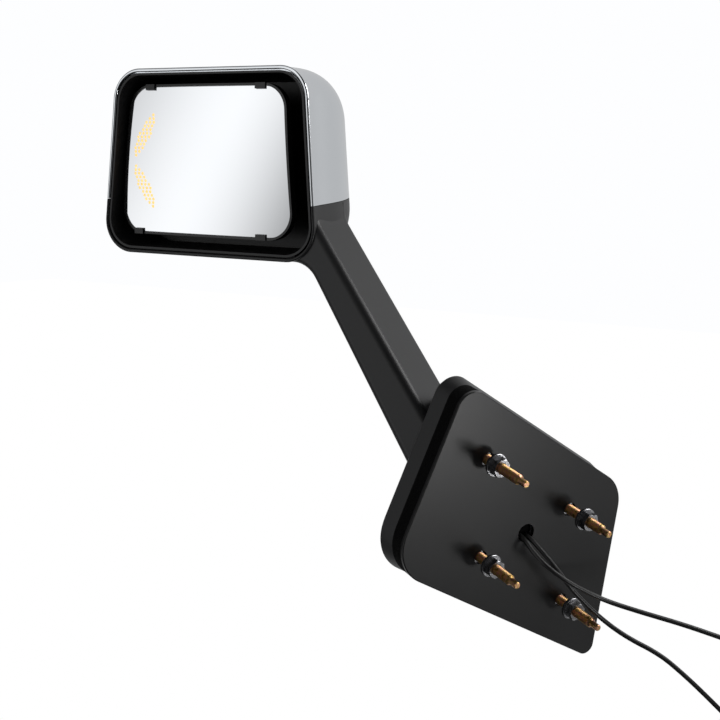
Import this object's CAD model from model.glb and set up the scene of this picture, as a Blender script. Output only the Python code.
# %% [markdown]
# # A truck's hood mirror
# This mirror stands on the left side of a truck's hood. Its head has a chrome cap and a
# convex glass with an arrow of amber lights, and a bent arm carries it on a base with four
# studs. The CAD model gives every piece its size and place, so this script adds what CAD
# leaves out: the cables' real curves, threads, chamfers, finishes, light and a camera.

# %% Load the frame
import bpy
import math
from mathutils import Matrix, Vector


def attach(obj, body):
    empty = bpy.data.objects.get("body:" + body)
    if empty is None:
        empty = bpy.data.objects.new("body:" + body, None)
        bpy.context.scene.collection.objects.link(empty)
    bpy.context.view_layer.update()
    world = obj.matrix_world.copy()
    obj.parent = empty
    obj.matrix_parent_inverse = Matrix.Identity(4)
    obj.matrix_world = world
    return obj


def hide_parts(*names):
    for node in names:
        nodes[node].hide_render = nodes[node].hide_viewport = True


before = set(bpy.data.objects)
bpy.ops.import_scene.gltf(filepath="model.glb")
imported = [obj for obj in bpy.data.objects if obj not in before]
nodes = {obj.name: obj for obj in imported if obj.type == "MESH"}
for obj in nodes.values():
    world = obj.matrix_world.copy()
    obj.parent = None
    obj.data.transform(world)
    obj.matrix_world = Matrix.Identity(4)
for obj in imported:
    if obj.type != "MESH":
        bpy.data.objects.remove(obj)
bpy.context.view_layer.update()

# %% [markdown]
# ## Camera
# A long lens keeps the head and the base in proportion. The camera stands behind the truck
# and a little above the hood, 28 degrees to the right of the glass, and leans slightly.

# %% Camera
camera_data = bpy.data.cameras.new("camera")
camera_data.lens = 60.0
camera_data.sensor_width = 36.0
camera = bpy.data.objects.new("camera", camera_data)
bpy.context.scene.collection.objects.link(camera)
turn = Matrix.Rotation(math.radians(28.4), 4, "Z")
nod = Matrix.Rotation(math.radians(90 - 8.3), 4, "X")
lean = Matrix.Rotation(math.radians(1.68), 4, "Z")
camera.matrix_world = Matrix.Translation((0.3088, -0.8468, 0.2603)) @ turn @ nod @ lean
bpy.context.scene.camera = camera

# %% [markdown]
# ## The base's own directions
# The mounting face is turned and tipped, because a hood slopes. Everything that stands on
# it is made in an upright frame first and then carried over by one matrix: `across` and
# `up_face` lie in the face, and `out` runs along the studs.

# %% Base directions
yaw, dip = math.radians(31.5), math.radians(9.7)
out = Vector((math.cos(dip) * math.cos(yaw), -math.cos(dip) * math.sin(yaw), -math.sin(dip)))
across = Vector((math.sin(yaw), math.cos(yaw), 0.0))
up_face = out.cross(across)
face_turn = Matrix((across, up_face, out)).transposed().to_4x4()
stud_spots = [(-0.047, 0.065), (0.040, 0.015), (-0.040, -0.015), (0.047, -0.065)]
nut_seats = [0.0113, 0.0193, 0.0148, 0.0148]

# %% [markdown]
# ## Cables
# Two thin cables leave the base through one hole: one for the amber arrow and one for the
# heated glass. Each is a single smooth spline whose control points follow its real path,
# and the length that isn't needed yet is wound in a tied coil, as it comes from its maker.

# %% Cable helpers
CABLE = 0.0038
COIL_RADIUS = 0.021
COIL_TURNS = 5
POINT_RADIUS = 0.002


def coil_axes(route):
    """The end of a route, and the directions along it, upwards and along the coil's axis."""
    end, before = Vector(route[-1]), Vector(route[-2])
    along = (end - before).normalized()
    up = (Vector((0, 0, 1)) - along * along.z).normalized()
    return end, along, up, up.cross(along)


def coil_points(route):
    end, along, up, axis = coil_axes(route)
    middle = end - up * COIL_RADIUS
    points = []
    steps = 16
    reach = COIL_RADIUS / math.cos(math.pi / steps)
    for step in range(COIL_TURNS * steps):
        angle = 2 * math.pi * (step + 0.5) / steps
        place = middle + (up * math.cos(angle) + along * math.sin(angle)) * reach
        points.append(place + axis * CABLE * (step + 0.5) / steps)
    last = end + axis * CABLE * COIL_TURNS
    return points + [last + along * 0.005, last + along * 0.016]


def make_cable(name, route):
    points = [Vector(place) for place in route[:-1]]
    points += [Vector(route[-1]) - coil_axes(route)[1] * 0.006]
    points += coil_points(route)
    curve = bpy.data.curves.new(f"{name}_lead", "CURVE")
    curve.dimensions = "3D"
    curve.bevel_depth = CABLE / 2 / POINT_RADIUS
    curve.bevel_resolution = 4
    curve.resolution_u = 6
    curve.use_fill_caps = True
    spline = curve.splines.new("NURBS")
    spline.points.add(len(points) - 1)
    for point, place in zip(spline.points, points):
        point.co, point.radius = (*place, 1.0), POINT_RADIUS
    spline.order_u = 3
    spline.use_endpoint_u = True
    cable = bpy.data.objects.new(f"{name}_lead", curve)
    bpy.context.scene.collection.objects.link(cable)
    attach(cable, "mirror")
    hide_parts(f"{name}_cable", f"{name}_coil")
    return cable


# %% [markdown]
# ## Routes
# Each cable leaves the hole in its own direction, then droops to the right and away behind
# the plate, down to its coil. The points guide a smooth curve, so there are few of them.

# %% Route the two cables
signal_route = [
    (-0.01187, 0.00422, -0.00094), (-0.00095, -0.00247, -0.00313), (0.008, -0.0067, -0.0112),
    (0.0221, -0.0088, -0.0214), (0.038, 0.0022, -0.0349), (0.0549, 0.0286, -0.0513),
    (0.0808, 0.0413, -0.0596), (0.112, 0.0568, -0.0686), (0.141, 0.0705, -0.0786),
    (0.1692, 0.0848, -0.088),
]
heater_route = [
    (-0.00915, 0.00866, -0.00094), (0.00177, 0.00197, -0.00313), (0.012, -0.0003, -0.0105),
    (0.0258, -0.0014, -0.0227), (0.0364, 0.0107, -0.0431), (0.052, 0.0333, -0.0678),
    (0.0706, 0.0434, -0.0827), (0.0945, 0.0543, -0.095), (0.1116, 0.0612, -0.1092),
    (0.131, 0.0686, -0.1274), (0.155, 0.0775, -0.1515), (0.179, 0.086, -0.174),
]
signal_cable = make_cable("signal", signal_route)
heater_cable = make_cable("heater", heater_route)

# %% [markdown]
# ## Writing shaders as sums
# A finish is mostly arithmetic on patterns. `Value` wraps a socket so that plus, minus and
# times add the Math nodes, and `Finish` starts a material and makes any other node.

# %% Shader helpers
class Value:
    def __init__(self, shader, socket):
        self.shader, self.socket = shader, socket

    def math(self, operation, first, second):
        return self.shader.node("Math", "Value", {"operation": operation}, {0: first, 1: second})

    def __add__(self, other): return self.math("ADD", self, other)
    def __radd__(self, other): return self.math("ADD", other, self)
    def __sub__(self, other): return self.math("SUBTRACT", self, other)
    def __rsub__(self, other): return self.math("SUBTRACT", other, self)
    def __mul__(self, other): return self.math("MULTIPLY", self, other)
    def __rmul__(self, other): return self.math("MULTIPLY", other, self)


class Shader:
    def __init__(self, owner):
        owner.use_nodes = True
        self.tree = owner.node_tree

    def plug(self, socket, value):
        if isinstance(value, Value):
            self.tree.links.new(value.socket, socket)
        else:
            socket.default_value = value

    def node(self, kind, output, settings=None, inputs=None):
        made = self.tree.nodes.new("ShaderNode" + kind)
        for name, value in (settings or {}).items():
            if name == "stops":
                for place, colour in value[1:-1]:
                    made.color_ramp.elements.new(place)
                for element, (place, colour) in zip(made.color_ramp.elements, value):
                    element.position, element.color = place, (*colour, 1.0)
            else:
                setattr(made, name, value)
        for name, value in (inputs or {}).items():
            self.plug(made.inputs[name], value)
        return Value(self, made.outputs[output])


class Finish(Shader):
    """A material whose fixed sockets are given by name, and whose patterns are added after."""

    def __init__(self, name, **fixed):
        self.material = bpy.data.materials.new(name)
        super().__init__(self.material)
        self.surface = self.tree.nodes["Principled BSDF"]
        for socket, value in fixed.items():
            self.surface.inputs[socket].default_value = value

    def feed(self, socket, value):
        self.plug(self.surface.inputs[socket], value)

    def place(self):
        return self.node("TexCoord", "Object")

    def noise(self, scale, detail=2.0):
        pattern = {"Vector": self.place(), "Scale": scale, "Detail": detail}
        return self.node("TexNoise", "Fac", None, pattern)

    def mix(self, share, first, second):
        colours = {0: share, 6: (*first, 1.0), 7: (*second, 1.0)}
        return self.node("Mix", 2, {"data_type": "RGBA"}, colours)

    def bump(self, height, strength, distance):
        relief = {"Height": height, "Strength": strength, "Distance": distance}
        self.feed("Normal", self.node("Bump", "Normal", None, relief))


def paint(finish, *names):
    for name in names:
        for holder in nodes[name].material_slots:
            holder.material = finish.material


# %% [markdown]
# ## Chrome and glass
# Plated plastic is a near-perfect mirror with a cool tint. A faint orange-peel in the
# plating and a few wiped patches keep it from looking computed. The mirror glass is
# cleaner still, so it only gets a little haze. Its front is part of a sphere, and its
# shading normal points away from one spot far behind it, which keeps the reflection free of
# facets. The spot stands about 6 degrees round from the sphere's own centre, so the glass
# reflects the room as if it were turned that much further.

# %% Chrome and mirror
chrome = Finish("chrome plating", Metallic=1.0)
wiped = chrome.noise(9.0, 3.0)
chrome.feed("Base Color", chrome.mix(wiped, (0.74, 0.77, 0.80), (0.82, 0.84, 0.86)))
chrome.feed("Roughness", 0.075 + 0.06 * wiped)
chrome.bump(chrome.noise(60.0, 1.0), 0.10, 0.0004)
paint(chrome, "chrome_cap")

mirror = Finish("mirror glass", Metallic=1.0)
haze = mirror.noise(14.0, 2.0)
mirror.feed("Base Color", mirror.mix(haze, (0.90, 0.92, 0.94), (0.93, 0.94, 0.95)))
mirror.feed("Roughness", 0.012 + 0.02 * haze)
centre = Vector((-0.33664, 0.83158, 0.2754))
ray = mirror.node("VectorMath", "Vector", {"operation": "SUBTRACT"}, {0: mirror.place(), 1: centre})
to_world = {"vector_type": "NORMAL", "convert_from": "OBJECT", "convert_to": "WORLD"}
ray = mirror.node("VectorTransform", "Vector", to_world, {"Vector": ray})
mirror.feed("Normal", mirror.node("VectorMath", "Vector", {"operation": "NORMALIZE"}, {0: ray}))
paint(mirror, "mirror_glass")

# %% [markdown]
# ## Black plastics
# The housing, the base and its plate are nylon with a fine spark-eroded grain, which
# scatters light into a soft satin. The grain is small noise in the bump, and a slower noise
# moves the roughness, because moulded nylon never shines evenly.

# %% Satin and gloss blacks
def black_plastic(name, shade, rough, grain_size, grain_depth):
    finish = Finish(name, IOR=1.46)
    patch = finish.noise(6.0, 3.0)
    finish.feed("Base Color", finish.mix(patch, (shade,) * 3, (shade * 1.5, shade * 1.5, shade * 1.6)))
    finish.feed("Roughness", rough - 0.05 + 0.10 * patch)
    finish.bump(finish.noise(grain_size, 2.0), 0.35, grain_depth)
    return finish


satin = black_plastic("satin black nylon", 0.010, 0.42, 2200.0, 0.00006)
paint(satin, "arm_housing", "base_cover")
plate_black = black_plastic("base plate black", 0.004, 0.34, 1600.0, 0.00003)
paint(plate_black, "base_plate")
inner_black = black_plastic("inner black", 0.006, 0.38, 1800.0, 0.00005)
paint(inner_black, "mirror_bucket", "ball_post", "pivot_clamp", "signal_tie", "heater_tie")
carrier_black = black_plastic("glass carrier black", 0.008, 0.26, 900.0, 0.00002)
paint(carrier_black, "glass_carrier")
plug_black = black_plastic("plug black", 0.012, 0.36, 1500.0, 0.00004)
paint(plug_black, "signal_plug", "heater_plug")

# %% [markdown]
# ## Rubber
# The band round the base is foam rubber: its open cells leave no highlight at all. The
# cables' sheath is smooth and slightly waxy.

# %% Rubbers
foam = Finish("foam rubber", **{"Specular IOR Level": 0.1})
cells = foam.node("TexVoronoi", "Distance", None, {"Vector": foam.place(), "Scale": 900.0})
foam.feed("Base Color", foam.mix(foam.noise(300.0), (0.001,) * 3, (0.003,) * 3))
foam.feed("Roughness", 0.86 + 0.1 * foam.noise(40.0))
foam.bump(cells, 0.8, 0.0004)
paint(foam, "base_gasket", "cable_grommet")

sheath = Finish("cable sheath", IOR=1.45)
sheath.feed("Base Color", sheath.mix(sheath.noise(120.0), (0.008,) * 3, (0.016,) * 3))
sheath.feed("Roughness", 0.30 + 0.15 * sheath.noise(300.0))
sheath.bump(sheath.noise(1500.0), 0.2, 0.00003)
signal_cable.data.materials.append(sheath.material)
heater_cable.data.materials.append(sheath.material)

# %% [markdown]
# ## Metals
# The studs are plated in yellow zinc, which drifts between gold, pink and green. Nuts and
# washers are bright zinc, and the hidden castings are bare alloy with a rough skin.

# %% Metals
zinc = Finish("yellow zinc", Metallic=1.0)
drift = [(0.34, (0.30, 0.17, 0.05)), (0.45, (0.62, 0.42, 0.16)),
         (0.56, (0.55, 0.26, 0.20)), (0.68, (0.60, 0.40, 0.10))]
tint = zinc.node("ValToRGB", "Color", {"stops": drift}, {"Fac": zinc.noise(260.0, 3.0)})
zinc.feed("Base Color", tint)
zinc.feed("Roughness", 0.24 + 0.2 * zinc.noise(500.0))
zinc.bump(zinc.noise(900.0), 0.2, 0.00005)


def bare_metal(name, dark, light, rough, scale, depth):
    finish = Finish(name, Metallic=1.0)
    patch = finish.noise(scale, 3.0)
    finish.feed("Base Color", finish.mix(patch, dark, light))
    finish.feed("Roughness", rough + 0.18 * patch)
    finish.bump(finish.noise(scale * 3, 2.0), 0.3, depth)
    return finish


bright = bare_metal("bright zinc", (0.32, 0.32, 0.33), (0.62, 0.62, 0.64), 0.14, 300.0, 0.00004)
paint(bright, "bracket_screws", "post_screws", "clamp_screws", "cover_screws", "stud_washers")
cast = bare_metal("cast alloy", (0.34, 0.34, 0.35), (0.46, 0.46, 0.47), 0.42, 120.0, 0.0002)
paint(cast, "head_bracket", "base_casting")
tube = bare_metal("drawn steel", (0.38, 0.38, 0.39), (0.52, 0.52, 0.53), 0.28, 90.0, 0.00005)
paint(tube, "arm_core", "core_pins")

# %% [markdown]
# ## Lights behind the glass
# The arrow is a field of clear dots in the silvering with amber LEDs behind, so each dot
# glows and is hottest in its middle. Behind the glass sit the heater foil, the circuit
# board and the LEDs.

# %% Amber dots, board and heater
amber = Finish("amber light", **{"Roughness": 0.25, "Emission Strength": 1.0})
flicker = amber.noise(420.0, 1.0)
glow = amber.mix(flicker, (1.0, 0.50, 0.10), (1.0, 0.74, 0.32))
amber.feed("Base Color", glow)
amber.feed("Emission Color", glow)
paint(amber, "indicator_dots")

lamp = Finish("LED lens", Roughness=0.2)
lamp.feed("Base Color", lamp.mix(lamp.noise(700.0), (0.80, 0.55, 0.20), (0.95, 0.75, 0.40)))
paint(lamp, "led_lamps")

board = Finish("circuit board", Roughness=0.35)
grid = {"Vector": board.place(), "Scale": 120.0, "Mortar Size": 0.03}
lanes = board.node("TexBrick", "Fac", None, grid)
board.feed("Base Color", board.mix(lanes, (0.010, 0.11, 0.035), (0.03, 0.22, 0.09)))
paint(board, "led_board")

foil = bare_metal("heater foil", (0.42, 0.36, 0.28), (0.58, 0.52, 0.42), 0.35, 160.0, 0.00005)
paint(foil, "heater_pad")

nylon = Finish("natural nylon", Roughness=0.4)
nylon.feed("Base Color", nylon.mix(nylon.noise(80.0), (0.55, 0.53, 0.45), (0.66, 0.63, 0.55)))
paint(nylon, "friction_cup")

# %% [markdown]
# ## Studs with real threads
# An M8 thread climbs 1.25 mm a turn. One tooth is made from a plane stood on edge beside the
# axis and narrowed to a crest, and the Screw modifier winds it up the stud. Turned pieces
# start as a circle that is extruded ring by ring, which is how a lathe would cut them.

# %% Modelling helpers
PITCH, CREST, ROOT = 0.00125, 0.0040, 0.0034


def pick(piece, wanted):
    """Leave edit mode, select the vertices that `wanted` accepts, and go back."""
    bpy.ops.object.mode_set(mode="EDIT")
    bpy.ops.mesh.select_mode(type="VERT")
    bpy.ops.mesh.select_all(action="DESELECT")
    bpy.ops.object.mode_set(mode="OBJECT")
    for vertex in piece.data.vertices:
        vertex.select = wanted(vertex.co)
    bpy.ops.object.mode_set(mode="EDIT")


def close_up(angle):
    """Merge the seams, turn the faces outwards and smooth all but the true edges."""
    bpy.ops.object.mode_set(mode="EDIT")
    bpy.ops.mesh.select_all(action="SELECT")
    bpy.ops.mesh.remove_doubles(threshold=0.000004)
    bpy.ops.mesh.normals_make_consistent(inside=False)
    bpy.ops.object.mode_set(mode="OBJECT")
    bpy.ops.object.shade_smooth_by_angle(angle=math.radians(angle))


def turned(name, rings, sides, fill="NGON"):
    """A lathe-turned piece through the rings, each a (radius, height)."""
    bpy.ops.object.select_all(action="DESELECT")
    radius, height = rings[0]
    bpy.ops.mesh.primitive_circle_add(vertices=sides, radius=radius, fill_type=fill,
                                      location=(0, 0, height))
    piece = bpy.context.active_object
    piece.name = name
    bpy.ops.object.transform_apply()
    bpy.ops.object.mode_set(mode="EDIT")
    bpy.ops.mesh.select_all(action="SELECT")
    for wide, high in rings[1:]:
        bpy.ops.mesh.extrude_region_move(TRANSFORM_OT_translate={"value": (0, 0, high - height)})
        share = wide / radius
        bpy.ops.transform.resize(value=(share, share, 1), center_override=(0, 0, high))
        radius, height = wide, high
    close_up(35)
    return piece


def cut_with(piece, cutter, way):
    bpy.ops.object.select_all(action="DESELECT")
    piece.select_set(True)
    bpy.context.view_layer.objects.active = piece
    cut = piece.modifiers.new("cut", "BOOLEAN")
    cut.object, cut.operation, cut.solver = cutter, way, "EXACT"
    bpy.ops.object.modifier_apply(modifier="cut")
    bpy.data.objects.remove(cutter)


# %% One stud
def stud_model():
    turns, start = 39, -0.0115
    bpy.ops.object.select_all(action="DESELECT")
    bpy.ops.mesh.primitive_plane_add(size=1, rotation=(math.pi / 2, 0, 0))
    thread = bpy.context.active_object
    bpy.ops.object.transform_apply()
    bpy.ops.object.mode_set(mode="EDIT")
    bpy.ops.mesh.select_all(action="SELECT")
    bpy.ops.transform.resize(value=(CREST - ROOT, 1, PITCH), center_override=(0, 0, 0))
    bpy.ops.transform.translate(value=((CREST + ROOT) / 2, 0, start + PITCH / 2))
    pick(thread, lambda spot: spot.x > ROOT + 0.0003)
    bpy.ops.transform.resize(value=(1, 1, 0.18), center_override=(0, 0, start + PITCH / 2))
    bpy.ops.mesh.select_all(action="SELECT")
    bpy.ops.mesh.delete(type="ONLY_FACE")
    pick(thread, lambda spot: spot.x < ROOT + 0.0003)
    bpy.ops.mesh.delete(type="EDGE")
    bpy.ops.object.mode_set(mode="OBJECT")
    winding = thread.modifiers.new("winding", "SCREW")
    winding.steps = winding.render_steps = 20
    winding.iterations, winding.screw_offset = turns, PITCH
    bpy.ops.object.modifier_apply(modifier="winding")
    close_up(35)
    end = start + turns * PITCH
    shank, collar, drive, tip = 0.0036, 0.0039, 0.0026, 0.0021
    turned("stud core", [
        (shank, -0.0125), (shank, start + 0.001), (ROOT, start + 0.0014), (ROOT, end - 0.0008),
        (collar, end - 0.0001), (collar, end + 0.0007), (drive, 0.0392), (drive, 0.0463),
        (tip, 0.0470)], 24)
    thread.select_set(True)
    bpy.context.view_layer.objects.active = thread
    bpy.ops.object.join()
    print("stud height", round(thread.dimensions.z, 4))
    return thread


# %% [markdown]
# ## Nuts and washers
# A nut is hexagonal bar. On a lathe its corners are cut back to a cone at both ends and its
# hole is countersunk, so here a turned shape is intersected with the bar, and a turned
# shape with flared ends is taken out of it. Washers are punched, with slightly rounded rims.

# %% One nut and one washer
def nut_model():
    tall, half = 0.0065, 0.0065
    bpy.ops.object.select_all(action="DESELECT")
    bpy.ops.mesh.primitive_cylinder_add(vertices=6, radius=half / math.cos(math.pi / 6), depth=tall,
                                        location=(0, 0, tall / 2))
    nut = bpy.context.active_object
    bpy.ops.object.transform_apply()
    cone = turned("nut cone", [(half * 0.97, -0.0002), (half * 1.2, 0.0010), (half * 1.2, tall - 0.0010),
                               (half * 0.97, tall + 0.0002)], 48)
    cut_with(nut, cone, "INTERSECT")
    hole = turned("nut hole", [(0.0048, -0.0004), (0.0037, 0.0007), (0.0037, tall - 0.0007),
                               (0.0048, tall + 0.0004)], 32)
    cut_with(nut, hole, "DIFFERENCE")
    bpy.ops.object.shade_smooth_by_angle(angle=math.radians(20))
    return nut


WASHER = 0.0024


def washer_model():
    bore, edge, rim = 0.0042, 0.0088, 0.00025
    return turned("washer", [
        (bore, rim), (bore + rim, 0.0), (edge - rim, 0.0), (edge, rim), (edge, WASHER - rim),
        (edge - rim, WASHER), (bore + rim, WASHER), (bore, WASHER - rim), (bore, rim)], 40, "NOTHING")


# %% [markdown]
# ## Fit them at the four places
# Each copy has its own mesh, and one matrix carries that mesh to its stud, so every object
# stays at the origin. Each nut sits at the height given for its stud with its washer below
# it, and each set is turned a little further, because nobody lines nuts up by hand.

# %% Fit the studs, nuts and washers
TURN_BETWEEN = 0.7


def fitted(model, name, spot, height, spin):
    """A copy of an upright piece, carried to one stud, with its place in its mesh."""
    made = bpy.data.objects.new(name, model.data.copy())
    bpy.context.scene.collection.objects.link(made)
    here = across * spot[0] + up_face * spot[1] + out * height
    made.data.transform(Matrix.Translation(here) @ face_turn @ Matrix.Rotation(spin, 4, "Z"))
    return made


stud, nut, washer = stud_model(), nut_model(), washer_model()
for number, (spot, seat) in enumerate(zip(stud_spots, nut_seats), 1):
    fittings = ((stud, "stud", 0.0, zinc, "yellow_zinc", "mounting_studs"),
                (nut, "nut", seat, bright, "bright_zinc", "stud_nuts"),
                (washer, "washer", seat - WASHER, bright, "bright_zinc", "stud_washers"))
    for model, word, height, finish, slot, node in fittings:
        piece = fitted(model, f"{word}_{number}", spot, height, TURN_BETWEEN * number)
        piece.data.materials.clear()
        piece.data.materials.append(finish.material)
        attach(piece, "mirror")
        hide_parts(node)
for model in (stud, nut, washer):
    print(model.name, len(model.data.polygons), "faces")
    bpy.data.objects.remove(model)

# %% [markdown]
# ## Studio
# A pale floor and a bright, even backdrop stand behind the object, and the room in front
# stays dim, so black plastic keeps its depth and chrome takes a pale grey from behind. A
# broad bright band in front of the glass, grey on its left and dark on its right, gives the
# white streak. All of it is one sum of fades along the world's axes.

# %% Backdrop
bpy.context.scene.view_settings.view_transform = "Standard"
world = bpy.data.worlds.new("studio")
bpy.context.scene.world = world
room = Shader(world)
direction = room.node("TexCoord", "Generated")
x, y, z = [room.node("SeparateXYZ", axis, None, {"Vector": direction}) for axis in "XYZ"]


def fade(value, low, high, start, end):
    return room.node("MapRange", "Result", {"interpolation_type": "SMOOTHSTEP"}, {
        "Value": value, "From Min": low, "From Max": high, "To Min": start, "To Max": end})


behind = fade(y, -0.10, 0.70, 0.0, 0.56)
side = fade(x, 0.45, 0.95, 0.0, 1.0) * fade(z, -0.55, -0.10, 0.0, 0.12)
front = fade(y, -0.55, -0.20, 1.0, 0.0)
slant = x - 0.5 * z
left_edge = fade(slant, -0.86, -0.44, 0.56, 1.06)
right_edge = fade(slant, -0.44, 0.04, 0.0, 0.95)
screen = front * (left_edge - right_edge) * fade(x, -0.10, 0.12, 1.0, 0.0)
strength = 0.01 + behind + screen + side
camera_sees = room.node("LightPath", "Is Camera Ray")
backdrop = world.node_tree.nodes["Background"]
backdrop.inputs["Color"].default_value = (0.985, 0.99, 1.0, 1.0)
room.plug(backdrop.inputs["Strength"], strength.math("MAXIMUM", strength, camera_sees))

# %% [markdown]
# ## Floor and lights
# The floor is plain white to the eye, and a pale matt grey to the light that falls on it.
# A small key light stands to the right and low, and a larger one high up behind.

# %% Floor
bpy.ops.object.select_all(action="DESELECT")
bpy.ops.mesh.primitive_grid_add(x_subdivisions=2, y_subdivisions=2, size=14, location=(0, 0, -0.62))
floor = bpy.context.active_object
floor.name = "studio_floor"
pale = Finish("pale floor", **{"Base Color": (0.55, 0.55, 0.56, 1.0), "Roughness": 0.9})
white = pale.node("Emission", "Emission", None, {"Color": (1.0, 1.0, 1.0, 1.0)})
seen = pale.node("LightPath", "Is Camera Ray")
blend = pale.node("MixShader", "Shader", None, {0: seen, 2: white})
pale.tree.links.new(pale.surface.outputs[0], blend.socket.node.inputs[1])
pale.plug(pale.tree.nodes["Material Output"].inputs["Surface"], blend)
floor.data.materials.append(pale.material)
floor.visible_glossy = False

# %% Lights
def soft_box(name, place, aim, size, power):
    data = bpy.data.lights.new(name, "AREA")
    data.size, data.energy = size, power
    light = bpy.data.objects.new(name, data)
    bpy.context.scene.collection.objects.link(light)
    facing_aim = (Vector(aim) - Vector(place)).to_track_quat("-Z", "Y").to_matrix().to_4x4()
    light.matrix_world = Matrix.Translation(place) @ facing_aim


soft_box("key", (1.22, -0.12, -0.42), (0.0, 0.0, 0.0), 0.30, 3.4)
soft_box("arm light", (0.9, 0.5, 0.9), (-0.1, 0.0, 0.1), 0.8, 10.0)
